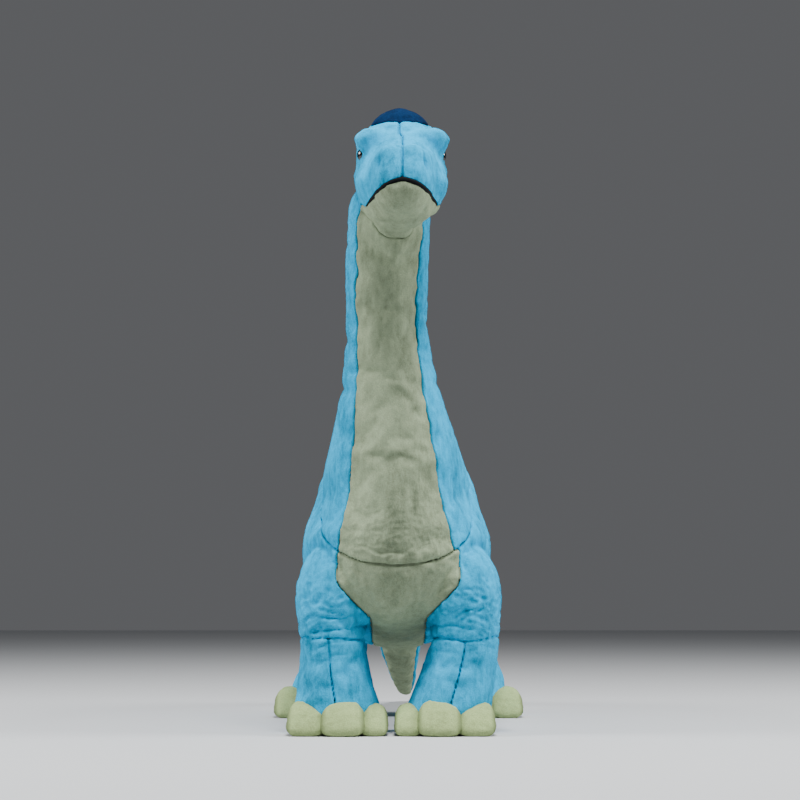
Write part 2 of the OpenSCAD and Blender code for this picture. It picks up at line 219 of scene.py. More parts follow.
def plush_material(name, colour, mottle=0.2, dark=0.62):
    """Short-pile polyester plush, brushed and steamed.

    The pile lies one way with patches turned over, which reads as soft lighter and darker
    clouds, and its tips catch light along every rounded edge. Seams and creases are darkened
    with painted shade, where a groove's shadow would fall.
    """
    material, tree = new_material(name)
    place = add_node(tree, "ShaderNodeTexCoord").outputs["Object"]
    brushed = add_node(tree, "ShaderNodeMapping", {"Vector": place, "Scale": (1.0, 1.0, 0.45)})
    # clouds of turned pile, about 22 mm across
    clouds = add_node(tree, "ShaderNodeTexNoise", {
        "Vector": brushed.outputs["Vector"], "Scale": 1 / (22 * MM), "Detail": 3.0, "Roughness": 0.6})
    # strokes of the brush, about 4 mm across
    strokes = add_node(tree, "ShaderNodeTexNoise", {
        "Vector": brushed.outputs["Vector"], "Scale": 1 / (4 * MM), "Detail": 4.0, "Roughness": 0.7})
    # tips of the pile: real ones are 0.05 mm, drawn 0.7 mm across so that they show
    tips = add_node(tree, "ShaderNodeTexNoise", {
        "Vector": place, "Scale": 1 / (0.7 * MM), "Detail": 2.0, "Roughness": 0.6})
    tone = add_node(tree, "ShaderNodeMath", {0: clouds.outputs["Fac"], 1: strokes.outputs["Fac"]},
                    operation="ADD")
    base = ramp_between(tree, add_node(tree, "ShaderNodeMath", {
        0: tone.outputs["Value"], 1: 0.5}, operation="MULTIPLY").outputs["Value"], [
            (0.34, shade(colour, 1 - 2.4 * mottle)),
            (0.50, colour),
            (0.66, shade(colour, 1 + 1.6 * mottle))])
    speckle = add_node(tree, "ShaderNodeMixRGB", {
        "Fac": 0.55, "Color1": base, "Color2": ramp_between(tree, tips.outputs["Fac"], [
            (0.30, (0.55, 0.55, 0.55, 1)), (0.70, (1.0, 1.0, 1.0, 1))])}, blend_type="MULTIPLY")
    # painted shade: the seam attribute darkens the colour along seams, nostril creases, leg folds and
    # between the toes
    seam = add_node(tree, "ShaderNodeAttribute", attribute_name="seam")
    seam_shaded = add_node(tree, "ShaderNodeMixRGB", {
        "Fac": seam.outputs["Fac"], "Color1": speckle.outputs["Color"], "Color2": shade(colour, dark)})
    rough = add_node(tree, "ShaderNodeBump", {
        "Strength": 0.55, "Distance": 0.5 * MM, "Height": tips.outputs["Fac"]})
    brush = add_node(tree, "ShaderNodeBump", {
        "Strength": 0.35, "Distance": 1.2 * MM, "Height": strokes.outputs["Fac"],
        "Normal": rough.outputs["Normal"]})
    cloth = add_node(tree, "ShaderNodeBsdfPrincipled", {
        "Base Color": seam_shaded.outputs["Color"], "Normal": brush.outputs["Normal"], "Roughness": 0.92,
        "Specular IOR Level": 0.04, "Sheen Weight": 0.14, "Sheen Roughness": 0.35,
        "Sheen Tint": shade(colour, 1.0, 0.04)})
    add_node(tree, "ShaderNodeOutputMaterial", {"Surface": cloth.outputs["BSDF"]})
    return material


def felt_material(name, colour):
    """Black craft felt: pressed fibres, dull, with a faint tangle."""
    material, tree = new_material(name)
    place = add_node(tree, "ShaderNodeTexCoord").outputs["Object"]
    # fibres of the felt, drawn about 0.6 mm apart
    fibres = add_node(tree, "ShaderNodeTexNoise", {
        "Vector": place, "Scale": 1 / (0.6 * MM), "Detail": 3.0, "Roughness": 0.7})
    tone = ramp_between(tree, fibres.outputs["Fac"], [
        (0.3, shade(colour, 0.6)), (0.7, shade(colour, 1.6, 0.004))])
    bump = add_node(tree, "ShaderNodeBump", {
        "Strength": 0.6, "Distance": 0.4 * MM, "Height": fibres.outputs["Fac"]})
    cloth = add_node(tree, "ShaderNodeBsdfPrincipled", {
        "Base Color": tone, "Normal": bump.outputs["Normal"], "Roughness": 0.95,
        "Specular IOR Level": 0.05, "Sheen Weight": 0.03, "Sheen Roughness": 0.6})
    add_node(tree, "ShaderNodeOutputMaterial", {"Surface": cloth.outputs["BSDF"]})
    return material


def eye_material():
    """Injection-moulded acrylic safety eye, polished, with a few dust specks in its gloss."""
    material, tree = new_material("Polished black acrylic")
    place = add_node(tree, "ShaderNodeTexCoord").outputs["Object"]
    # handling marks about 1.5 mm across
    marks = add_node(tree, "ShaderNodeTexNoise", {
        "Vector": place, "Scale": 1 / (1.5 * MM), "Detail": 3.0, "Roughness": 0.5})
    gloss = add_node(tree, "ShaderNodeMapRange", {
        "Value": marks.outputs["Fac"], "From Min": 0.35, "From Max": 0.75, "To Min": 0.04, "To Max": 0.14})
    acrylic = add_node(tree, "ShaderNodeBsdfPrincipled", {
        "Base Color": linear("#07080B"), "Roughness": gloss.outputs["Result"], "IOR": 1.49,
        "Coat Weight": 0.6, "Coat Roughness": 0.03})
    add_node(tree, "ShaderNodeOutputMaterial", {"Surface": acrylic.outputs["BSDF"]})
    return material


def paint(piece, material):
    piece.data.materials.clear()
    piece.data.materials.append(material)


# ---- working on meshes ----

def select_only(*pieces):
    if bpy.context.object and bpy.context.object.mode != "OBJECT":
        bpy.ops.object.mode_set(mode="OBJECT")
    bpy.ops.object.select_all(action="DESELECT")
    for piece in pieces:
        piece.select_set(True)
    bpy.context.view_layer.objects.active = pieces[0]


def copy_of(name, nodes):
    """One object with copies of CAD nodes' meshes, their loose triangles merged."""
    form = bmesh.new()
    for node in nodes:
        form.from_mesh(frame["nodes"][node].data)
    bmesh.ops.remove_doubles(form, verts=form.verts, dist=0.01 * MM)
    mesh = bpy.data.meshes.new(name)
    form.to_mesh(mesh)
    form.free()
    piece = bpy.data.objects.new(name, mesh)
    bpy.context.scene.collection.objects.link(piece)
    return piece


def points_of(mesh, what="co"):
    out = np.empty(len(mesh.vertices) * 3, np.float32)
    mesh.vertices.foreach_get(what, out)
    return out.reshape(-1, 3).astype(float)


def set_points(mesh, points):
    mesh.vertices.foreach_set("co", points.astype(np.float32).ravel())
    mesh.update()


def edges_of(mesh):
    out = np.empty(len(mesh.edges) * 2, np.int32)
    mesh.edges.foreach_get("vertices", out)
    return out.reshape(-1, 2)


def faces_of(mesh):
    """The four corners of each face of a refined skin."""
    out = np.empty(len(mesh.polygons) * 4, np.int32)
    mesh.polygons.foreach_get("vertices", out)
    return out.reshape(-1, 4)


def steady_normals(mesh):
    """The outward direction at each point, weighted by its faces' corner angles.

    Blender's own differ in the last digit from run to run, and the cloth would magnify that.
    """
    points, faces = points_of(mesh), faces_of(mesh)
    first, second, third, fourth = (points[faces[:, corner]] for corner in range(4))
    across = np.cross(first - third, second - fourth)
    across /= np.maximum(np.linalg.norm(across, axis=1, keepdims=True), 1e-12)
    total = np.zeros_like(points)
    for corner in range(4):
        here = points[faces[:, corner]]
        ahead = points[faces[:, (corner + 1) % 4]] - here
        behind = points[faces[:, corner - 1]] - here
        length = np.linalg.norm(ahead, axis=1) * np.linalg.norm(behind, axis=1)
        angle = np.arccos(np.clip((ahead * behind).sum(axis=1) / np.maximum(length, 1e-12), -1, 1))
        for axis in range(3):
            total[:, axis] += np.bincount(
                faces[:, corner], weights=angle * across[:, axis], minlength=len(points))
    return total / np.maximum(np.linalg.norm(total, axis=1, keepdims=True), 1e-12)


def store(mesh, name, values, domain="POINT"):
    """Keeps a number at each point or face of a mesh."""
    whole = values.dtype.kind in "biu"
    attribute = mesh.attributes.new(name, "INT" if whole else "FLOAT", domain)
    attribute.data.foreach_set("value", values.astype(np.int32 if whole else np.float32))


def stored(mesh, name):
    attribute = mesh.attributes[name]
    out = np.empty(len(attribute.data), np.int32 if attribute.data_type == "INT" else np.float32)
    attribute.data.foreach_get("value", out)
    return out


def relax(values, edges, passes):
    """Smooths a value at each vertex over the mesh's edges, half way to its neighbours' mean."""
    values = values.astype(float)
    count = np.bincount(edges.ravel(), minlength=len(values)).astype(float)
    alone = count == 0
    count[alone] = 1.0
    flat = values.ndim == 1
    for _ in range(passes):
        columns = [values] if flat else list(values.T)
        means = []
        for column in columns:
            total = np.bincount(edges[:, 0], weights=column[edges[:, 1]], minlength=len(values))
            total += np.bincount(edges[:, 1], weights=column[edges[:, 0]], minlength=len(values))
            means.append(total / count)
        mean = means[0] if flat else np.stack(means, axis=1)
        moved = values + 0.5 * (mean - values)
        moved[alone] = values[alone]
        values = moved
    return values


def apply_modifier(piece, kind, **settings):
    select_only(piece)
    modifier = piece.modifiers.new(kind.title(), kind)
    for name, value in settings.items():
        setattr(modifier, name, value)
    bpy.ops.object.modifier_apply(modifier=modifier.name)


def keep_largest_island(piece):
    """Deletes the closed pockets that a remesh leaves inside the body."""
    form = bmesh.new()
    form.from_mesh(piece.data)
    unseen = set(form.verts)
    islands = []
    while unseen:
        island, stack = [], [unseen.pop()]
        while stack:
            vert = stack.pop()
            island.append(vert)
            for edge in vert.link_edges:
                other = edge.other_vert(vert)
                if other in unseen:
                    unseen.remove(other)
                    stack.append(other)
        islands.append(island)
    islands.sort(key=len)
    for island in islands[:-1]:
        bmesh.ops.delete(form, geom=island, context="VERTS")
    form.to_mesh(piece.data)
    form.free()


def remesh(piece, size):
    select_only(piece)
    piece.data.remesh_voxel_size = size
    piece.data.use_remesh_fix_poles = True
    piece.data.use_remesh_preserve_volume = True
    bpy.ops.object.voxel_remesh()


# ---- the body's shape ----

def pivot(joint):
    return Vector(JOINTS[joint]["pos_m"])


def add_pad(centre, radii, tilt=0.0):
    """A pad of stuffing under the fabric, tilted about X."""
    bpy.ops.mesh.primitive_uv_sphere_add(
        segments=32, ring_count=20, radius=1.0, location=centre, scale=radii,
        rotation=(math.radians(tilt), 0, 0))
    return bpy.context.object


def head_pads():
    """Brows, cheeks, snout and crest of the head."""
    low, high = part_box("head_stuffing")
    middle = (low.x + high.x) / 2 + 1 * MM
    top, front = high.z, low.y
    pads = []
    for side in (-1, 1):
        # brow, cheek, and one half of the snout
        pads.append(add_pad((middle + side * 18.2 * MM, front + 42 * MM, top - 23.5 * MM),
                            (10.5 * MM, 15 * MM, 8.5 * MM), -14))
        pads.append(add_pad((middle + side * 16.5 * MM, front + 35 * MM, top - 49 * MM),
                            (10.5 * MM, 14 * MM, 9.5 * MM), 6))
        pads.append(add_pad((middle + side * 6.5 * MM, front + 17 * MM, top - 42 * MM),
                            (9.5 * MM, 17 * MM, 9.5 * MM), -26))
    pads.append(add_pad((middle, front + 58 * MM, top - 7 * MM), (8.5 * MM, 13 * MM, 8 * MM), 0))
    nod = pivot("head_nod")
    pads.append(add_pad((nod.x, nod.y, nod.z), (22 * MM, 24 * MM, 22 * MM), 32))
    # the throat fills the hollow under the jaw
    pads.append(add_pad((nod.x + 1 * MM, nod.y - 11 * MM, nod.z - 25 * MM),
                        (18 * MM, 16 * MM, 37 * MM), 20))
    return pads


def leg_pads():
    """Shoulders and haunches that carry the side of the body into each leg."""
    pads = []
    for leg in LEGS:
        hip = pivot(leg + "_leg_swing")
        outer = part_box(leg + "_leg_stuffing")
        middle_x = (outer[0].x + outer[1].x) / 2
        side = 1 if middle_x > 0 else -1
        if leg.startswith("front"):
            pads.append(add_pad((side * 39.5 * MM, hip.y + 1 * MM, hip.z + 8 * MM),
                                (21.5 * MM, 27 * MM, 32 * MM), 0))
        else:
            pads.append(add_pad((side * 42 * MM, hip.y + 1 * MM, hip.z + 14 * MM),
                                (23 * MM, 33 * MM, 38 * MM), 0))
        pads.append(add_pad((side * 40.5 * MM, hip.y, hip.z - 6 * MM), (18 * MM, 24 * MM, 16 * MM), 0))
    return pads


def swell_copy(nodes, name, grow):
    piece = copy_of(name, nodes)
    points = points_of(piece.data) + grow * points_of(piece.data, "normal")
    set_points(piece.data, points)
    return piece


def stuffed_body():
    """The whole closed body in one even grid, from the stuffing, the panels and the pads."""
    parts = [swell_copy([node], "stuffing_copy", 3 * MM) for node in STUFFING]
    parts.append(copy_of("panel_copy", PANELS))
    parts += head_pads() + leg_pads()
    select_only(*parts)
    bpy.ops.object.transform_apply(location=True, rotation=True, scale=True)
    bpy.ops.object.join()
    body = bpy.context.object
    body.name = "skin"
    remesh(body, sizes().voxel)
    keep_largest_island(body)
    edges = edges_of(body.data)
    points = points_of(body.data)
    smooth = relax(points, edges, 5)
    # the chest draws in a little above the legs
    x, y, z = smooth.T
    smooth[:, 0] *= 1 - 0.09 * np.exp(-((z - 142 * MM) / (17 * MM)) ** 2)
    smooth[:, 0] *= 1 - 0.05 * (x < 0) * np.exp(-((z - 45 * MM) / (20 * MM)) ** 2)
    set_points(body.data, smooth)
    # smoothing shrinks the body, so it is let out again
    set_points(body.data, points_of(body.data) + 0.5 * MM * steady_normals(body.data))
    return body


# ---- panels and seams ----

def tree_of(nodes):
    """A search tree over CAD nodes, and the node of each of its faces."""
    points, faces, owners = [], [], []
    for node in nodes:
        mesh = frame["nodes"][node].data
        start = len(points)
        points += [v.co[:] for v in mesh.vertices]
        faces += [[start + i for i in polygon.vertices] for polygon in mesh.polygons]
        owners += [PANELS.index(node)] * len(mesh.polygons)
    return BVHTree.FromPolygons(points, faces), owners


def crease_height(point):
    """Where the leg's fabric is folded under the body, a little unevenly."""
    fold = 57 * MM if point[1] < -60 * MM else 60 * MM
    return fold + 3.0 * MM * noise.noise(Vector((point[0], point[1], 0)) / (17 * MM))


def panel_at_each(points):
    """The panel that lies nearest to each point of the skin."""
    upper, upper_owner = tree_of([p for p in PANELS if p not in LEG_PANELS + SOLES])
    lower, lower_owner = tree_of(LEG_PANELS + SOLES)
    labels = np.empty(len(points), np.int32)
    for i, point in enumerate(points):
        found_upper = upper.find_nearest(point)
        found_lower = lower.find_nearest(point)
        above = point[2] - crease_height(point)
        far_from_leg = found_lower[3] > 14 * MM
        if above > 0 or far_from_leg:
            labels[i] = upper_owner[found_upper[2]]
        else:
            labels[i] = lower_owner[found_lower[2]]
    arch_mouth(points, labels)
    straighten_crown(points, labels)
    straighten_belly(points, labels)
    return labels


def straighten_crown(points, labels):
    """The crown panel has a nearly straight front edge across the forehead."""
    low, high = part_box("crown_panel")
    x, y, z = points.T
    on_top = (y > low.y - 12 * MM) & (y < low.y + 16 * MM) & (z > high.z - 24 * MM)
    head = np.isin(labels, [PANELS.index(p) for p in ("head_left", "head_right", "crown_panel")])
    middle = (low.x + high.x) / 2
    inside = (x > low.x - 1 * MM) & (x < high.x + 1 * MM)
    inside &= (z > high.z - 13 * MM) | (y > low.y + 9 * MM)
    labels[on_top & head & inside] = PANELS.index("crown_panel")
    labels[on_top & head & ~inside & (x > middle)] = PANELS.index("head_left")
    labels[on_top & head & ~inside & (x < middle)] = PANELS.index("head_right")


def mouth_height(points):
    """Height of the mouth's line: an arch across the snout that drops towards the neck."""
    low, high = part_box("mouth_strip")
    x, y, z = points.T
    middle = (low.x + high.x) / 2
    corner = 0.61 * (high.x - low.x)
    arch = sizes().mouth_arch * np.minimum(np.abs(x - middle) / corner, 1.0) ** 1.5
    behind = np.maximum(0, y - high.y - 10 * MM)
    return high.z - 0.6 * MM - arch + np.minimum(0.5 * behind, 5 * MM)


def arch_mouth(points, labels):
    """The jaw panel meets the side panels along the mouth."""
    low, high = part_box("mouth_strip")
    head = np.isin(labels, [PANELS.index(p) for p in ("head_left", "head_right", "jaw_panel")])
    head &= (points[:, 1] < high.y + 20 * MM)
    above = points[:, 2] > mouth_height(points)
    left = points[:, 0] > (low.x + high.x) / 2
    labels[head & ~above] = PANELS.index("jaw_panel")
    labels[head & above & left] = PANELS.index("head_left")
    labels[head & above & ~left] = PANELS.index("head_right")


def straighten_belly(points, labels):
    """The belly panel narrows below the chest to pass between the legs."""
    x, y, z = points.T
    low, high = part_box("belly_panel")
    chest_y = low.y + 44 * MM
    wide, narrow = sizes().chest_width / 2, sizes().belly_width / 2
    opened = np.clip((z - low.z - 19 * MM) / (20 * MM), 0, 1)
    half = np.where(y < chest_y, narrow + (wide - narrow) * opened, narrow)
    body = np.isin(labels, [PANELS.index(p) for p in ("body_left", "body_right", "belly_panel")])
    under = body & (z < low.z + 64 * MM) & (y < high.y - 8 * MM)
    under &= (y < chest_y) | (z < low.z + 34 * MM)
    labels[under & (x >= half)] = PANELS.index("body_left")
    labels[under & (x <= -half)] = PANELS.index("body_right")
    labels[under & (np.abs(x) < half)] = PANELS.index("belly_panel")


def seam_field(labels, edges, passes):
    """How clearly each vertex lies in its own panel: 0 on a seam, 1 well inside."""
    share = np.zeros((len(labels), len(PANELS)), np.float32)
    share[np.arange(len(labels)), labels] = 1.0
    used = np.unique(labels)
    share[:, used] = relax(share[:, used], edges, passes)
    ordered = np.partition(share, -2, axis=1)
    return np.argmax(share, axis=1), ordered[:, -1] - ordered[:, -2]


def inflate(body, inside):
    """Cloth simulation: pressure swells the panels, and the seams hold the fabric in."""
    before = points_of(body.data)
    group = body.vertex_groups.new(name="sewn")
    hold = np.clip(1.0 - inside / 0.55, 0.0, 1.0)
    low = before[:, 2] < 4 * MM
    hold[low] = 1.0
    for i, weight in enumerate(hold):
        if weight > 0.02:
            group.add([i], float(weight), "REPLACE")
    modifier = body.modifiers.new("Cloth", "CLOTH")
    cloth = modifier.settings
    cloth.quality = 4
    cloth.mass = 0.25
    cloth.tension_stiffness = 12
    cloth.compression_stiffness = 12
    cloth.shear_stiffness = 5
    cloth.bending_stiffness = 0.4
    cloth.shrink_min = -0.035
    cloth.use_pressure = True
    cloth.uniform_pressure_force = CLOTH_PRESSURE
    cloth.vertex_group_mass = "sewn"
    cloth.effector_weights.gravity = 0
    modifier.collision_settings.use_collision = False
    scene = bpy.context.scene
    for number in range(1, CLOTH_FRAMES + 1):
        scene.frame_set(number)
    baked = body.evaluated_get(bpy.context.evaluated_depsgraph_get())
    after = points_of(baked.data)
    body.modifiers.remove(modifier)
    scene.frame_set(1)
    body.vertex_groups.clear()
    move = after - before
    length = np.linalg.norm(move, axis=1, keepdims=True)
    move *= np.minimum(1.0, CLOTH_REACH / np.maximum(length, 1e-9))
    # the creases stay, and most of the broad swelling is taken back
    normals = steady_normals(body.data)
    swelling = relax((move * normals).sum(axis=1), edges_of(body.data), 16)
    set_points(body.data, before + move - 0.85 * swelling[:, None] * normals)


def even_seams(points, faces_panel, faces, edges):
    """Draws each seam out into an even line, by sliding its vertices along it."""
    lowest = np.full(len(points), len(PANELS), np.int32)
    highest = np.full(len(points), -1, np.int32)
    for corner in range(4):
        np.minimum.at(lowest, faces[:, corner], faces_panel)
        np.maximum.at(highest, faces[:, corner], faces_panel)
    on_seam = lowest != highest
    both = on_seam[edges[:, 0]] & on_seam[edges[:, 1]]
    same = (lowest[edges[:, 0]] == lowest[edges[:, 1]]) & (highest[edges[:, 0]] == highest[edges[:, 1]])
    seam_edges = edges[both & same]
    points = relax(points, seam_edges, 8)
    lips = (highest == PANELS.index("jaw_panel")) & (lowest < 2)
    return points, lips


def noise_at(points, scale, seed, stretch=(1.0, 1.0, 1.0)):
    """Smooth noise from -1 to 1 at each point, its lumps as wide as scale."""
    spots = points / scale * np.array(stretch) + seed
    return np.fromiter((noise.noise(spot) for spot in spots), float, len(spots))


def near(points, centre, radii):
    """1 at a place and falling softly to 0 around it."""
    offset = (points - np.array(centre)) / np.array(radii)
    return np.exp(-(offset ** 2).sum(axis=1))


def crushed(points):
    """Where the pile is crushed: round the tops of the legs and under the throat."""
    amount = np.zeros(len(points))
    for leg in LEGS:
        hip = pivot(leg + "_leg_swing")
        side = 1 if "left" in leg else -1
        spot = (side * 44 * MM, hip.y - 12 * MM, hip.z - 2 * MM)
        amount += near(points, spot, (20 * MM, 26 * MM, 20 * MM))
    chest = pivot("neck_bend")
    amount += 0.45 * near(points, (0, chest.y - 45 * MM, chest.z - 25 * MM), (40 * MM, 22 * MM, 26 * MM))
    return np.clip(amount, 0, 1)


def nostrils(points):
    """Two short upright creases at the corners of the snout's front face."""
    low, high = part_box("head_stuffing")
    x, y, z = points.T
    aside = np.abs(x - (low.x + high.x) / 2 - 1 * MM)
    forward = low.y + 21 * MM - y
    turn = np.arctan2(aside, forward)
    across = (turn - 0.78) * 19 / 1.9
    along = (z - high.z + 41 * MM) / (5 * MM)
    return np.exp(-across ** 2 - along ** 2) * (forward > 0)


def leg_folds(points):
    """Wavy folds where the fabric is bent over the top of each leg, and how near each point is."""
    x, y, z = points.T
    wave = noise_at(points, 15 * MM, 4.4, (1, 1, 0.4))
    crease = np.where(y < -60 * MM, 57 * MM, 60 * MM)
    phase = (z - crease) / (8.5 * MM) + 0.75 * wave + 0.25 * np.abs(x) / (20 * MM)
    line = (1 - np.abs(np.sin(np.pi * phase))) ** 3
    fold = np.exp(-((z - crease) / (10 * MM)) ** 2)
    reach = np.exp(-((z - crease - 5 * MM) / (14 * MM)) ** 2)
    inner = np.clip(1.35 - (np.abs(x) - 22 * MM) / (42 * MM), 0.25, 1)
    broken = np.clip(0.65 + 0.9 * noise_at(points, 19 * MM, 8.1), 0, 1)
    on_leg = np.abs(x) > 17 * MM
    return line * reach * inner * broken * on_leg, fold * on_leg


def relief(points, inside):
    """How far the pile stands out or in at each point of the skin, and the painted shade along its seams and
    creases.
    """
    size = sizes()
    groove = np.exp(-(inside / 0.30) ** 2)
    seam = np.exp(-(inside / 0.16) ** 2)
    above, fold = leg_folds(points)
    # the fold over each leg and the seam under the jaw are soft, and not pulled in
    nod = pivot("head_nod")
    under_jaw = near(points, (nod.x, nod.y - 28 * MM, nod.z - 18 * MM), (40 * MM, 30 * MM, 22 * MM))
    groove *= (1 - 0.6 * fold) * (1 - 0.85 * under_jaw)
    seam *= (1 - 0.75 * fold) * (1 - 0.8 * under_jaw)
    lift = size.puff * (1 - np.exp(-inside / 0.35)) - size.seam_depth * groove - size.fold_depth * above
    nap = noise_at(points, 5.0 * MM, 3.1, (1, 1, 0.5)) + 0.6 * noise_at(points, 2.2 * MM, 7.7, (1, 1, 0.7))
    folds = 1 - 2.2 * np.abs(noise_at(points, 6.0 * MM, 21.3, (1, 1, 1.4)))
    fine = 1 - 2.0 * np.abs(noise_at(points, 3.0 * MM, 11.9))
    creased = nostrils(points)
    lift -= 3.4 * MM * creased
    # painted shade: the nostril creases and the folds over the legs are darkened through the seam mask
    seam = np.maximum(seam, creased)
    seam = np.maximum(seam, 0.5 * above)
    lift += size.nap * nap * (1 - seam)
    lift += size.crinkle * crushed(points) * (0.6 * folds + 0.4 * fine) * (1 - 0.7 * seam)
    return lift, seam


def mesh_from(name, points, faces):
    mesh = bpy.data.meshes.new(name)
    mesh.vertices.add(len(points))
    mesh.vertices.foreach_set("co", points.astype(np.float32).ravel())
    mesh.loops.add(faces.size)
    mesh.loops.foreach_set("vertex_index", faces.astype(np.int32).ravel())
    mesh.polygons.add(len(faces))
    mesh.polygons.foreach_set("loop_start", np.arange(0, faces.size, faces.shape[1], dtype=np.int32))
    mesh.update(calc_edges=True)
    mesh.validate()
    piece = bpy.data.objects.new(name, mesh)
    bpy.context.scene.collection.objects.link(piece)
    return piece


def cut_panel(name, points, faces, seam):
    """One panel of the skin as a sheet with the fabric's thickness."""
    used, local = np.unique(faces, return_inverse=True)
    piece = mesh_from(name, points[used], local.reshape(faces.shape))
    store(piece.data, "seam", seam[used])
    apply_modifier(piece, "SOLIDIFY", thickness=sizes().fabric, offset=-1.0, use_rim=True)
    piece.data.polygons.foreach_set("use_smooth", [True] * len(piece.data.polygons))
    return piece


def moulded_skin():
    """The whole skin, which every panel is cut from."""
    if "skin" not in bpy.data.objects:
        raise RuntimeError("the skin has to be moulded first")
    return bpy.data.objects["skin"]


# ---- riding on the frame ----

def attach(piece, node):
    """Joins a torso panel or a sole to its body; every other panel has its transform baked in and joins no
    body.
    """
    if node in ("body_left", "body_right", "back_stripe", "belly_panel"):
        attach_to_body(piece, "torso")
    elif node.startswith("neck") or node == "throat_panel":
        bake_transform(piece)
    elif node in ("head_left", "head_right", "jaw_panel", "crown_panel"):
        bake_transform(piece)
    elif node.startswith("tail"):
        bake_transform(piece)
    elif node.endswith("_sole"):
        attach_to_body(piece, node[:-5] + "_leg")
    else:
        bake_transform(piece)


HIDDEN_BEHIND = {
    "belly_panel": ["body_stuffing"], "throat_panel": ["neck_stuffing"], "tail_under": ["tail_stuffing"],
    "crown_panel": ["head_stuffing", "eye_washer_left", "eye_washer_right"],
}


def set_eyes_in(points):
    """Draws the fabric in round each eye, so that the eye stands out of a shallow hollow."""
    for node in ("eye_left", "eye_right"):
        low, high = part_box(node)
        side = 1 if low.x > 0 else -1
        outer = high.x if side > 0 else -low.x
        across = side * points[:, 0]
        back = points[:, 1] - (low.y + high.y) / 2
        # the hollow reaches further behind the eye than in front of it
        back = np.where(back > 0, 0.3 * back, 1.3 * back)
        away = np.hypot(back, points[:, 2] - high.z + 4 * MM)
        most = outer - 2.0 * MM + 0.6 * np.maximum(0, away - 3.8 * MM)
        near_eye = (away < 12 * MM) & (across > 12 * MM)
        points[near_eye, 0] = side * np.minimum(across, most)[near_eye]
    return points


def felt_lining():
    """A black felt lining that shows between the lips, thickest in the middle of the mouth; the lining sits
    in the mouth's slit, and its black is painted shade of the gap.
    """
    mesh = moulded_skin().data
    lips = points_of(mesh)[stored(mesh, "lips") > 0]
    low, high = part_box("mouth_strip")
    centre = Vector(((low.x + high.x) / 2, high.y + 4 * MM, 0))
    lips = lips[lips[:, 1] < high.y + 9 * MM]
    turn = np.arctan2(lips[:, 0] - centre.x, centre.y - lips[:, 1])
    order = np.argsort(turn)
    lips = lips[order]
    # the two lips' points are gathered into one even line
    groups = np.array_split(lips, 32)
    path = np.array([group.mean(axis=0) for group in groups])
    for _ in range(2):
        path[1:-1] = 0.5 * path[1:-1] + 0.25 * (path[:-2] + path[2:])
    curve = bpy.data.curves.new("mouth_lining", "CURVE")
    curve.dimensions = "3D"
    curve.bevel_depth = 2.0 * MM
    curve.bevel_resolution = 4
    curve.use_fill_caps = True
    line = curve.splines.new("POLY")
    line.points.add(len(path) - 1)
    for i, spot in enumerate(path):
        across = 2 * i / (len(path) - 1) - 1
        out = Vector((spot[0] - centre.x, spot[1] - centre.y, 0)).normalized()
        line.points[i].co = (*(Vector(spot) + 0.4 * MM * out), 1)
        line.points[i].radius = 1.0 - 0.75 * abs(across) ** 1.6
    lining = bpy.data.objects.new("mouth_lining", curve)
    bpy.context.scene.collection.objects.link(lining)
    select_only(lining)
    bpy.ops.object.convert(target="MESH")
    lining = bpy.context.object
    bpy.ops.object.shade_smooth()
    paint(lining, felt_material("Black craft felt", colours().black))
    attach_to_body(lining, "head")
    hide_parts("mouth_strip")


def finish_of(node):
    if node in GREY_PANELS or node in SOLES:
        return "grey_plush"
    if node in NAVY_PANELS:
        return "navy_plush"
    return "blue_plush"


def plush_finishes():
    colour = colours()
    if "Blue minky plush" not in bpy.data.materials:
        plush_material("Blue minky plush", colour.blue)
        plush_material("Grey minky plush", colour.grey, mottle=0.14)
        plush_material("Navy minky plush", colour.navy, mottle=0.32)
        # the cream's darker seam colour is painted shade between the toes
        plush_material("Cream minky plush", colour.cream, mottle=0.07, dark=0.35)
    names = ("blue", "grey", "navy", "cream")
    return {n + "_plush": bpy.data.materials[n.title() + " minky plush"] for n in names}


def sew(nodes):
    """Cuts the panels of some CAD nodes from the skin, and joins the torso panels and soles to their bodies.
    """
    mesh = moulded_skin().data
    points, faces = points_of(mesh), faces_of(mesh)
    panel_of_face, seam = stored(mesh, "panel"), stored(mesh, "seam")
    finishes = plush_finishes()
    for node in nodes:
        own = faces[panel_of_face == PANELS.index(node)]
        if not len(own):
            raise RuntimeError("no fabric was cut for " + node)
        piece = cut_panel("plush_" + node, points, own, seam)
        paint(piece, finishes[finish_of(node)])
        attach(piece, node)
        hidden = HIDDEN_BEHIND.get(node, [])
        if node.endswith("_leg_inner"):
            hidden = [node.replace("_leg_inner", part) for part in ("_leg_stuffing", "_pellets")]
        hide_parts(node, *hidden)


# ---- the operators ----

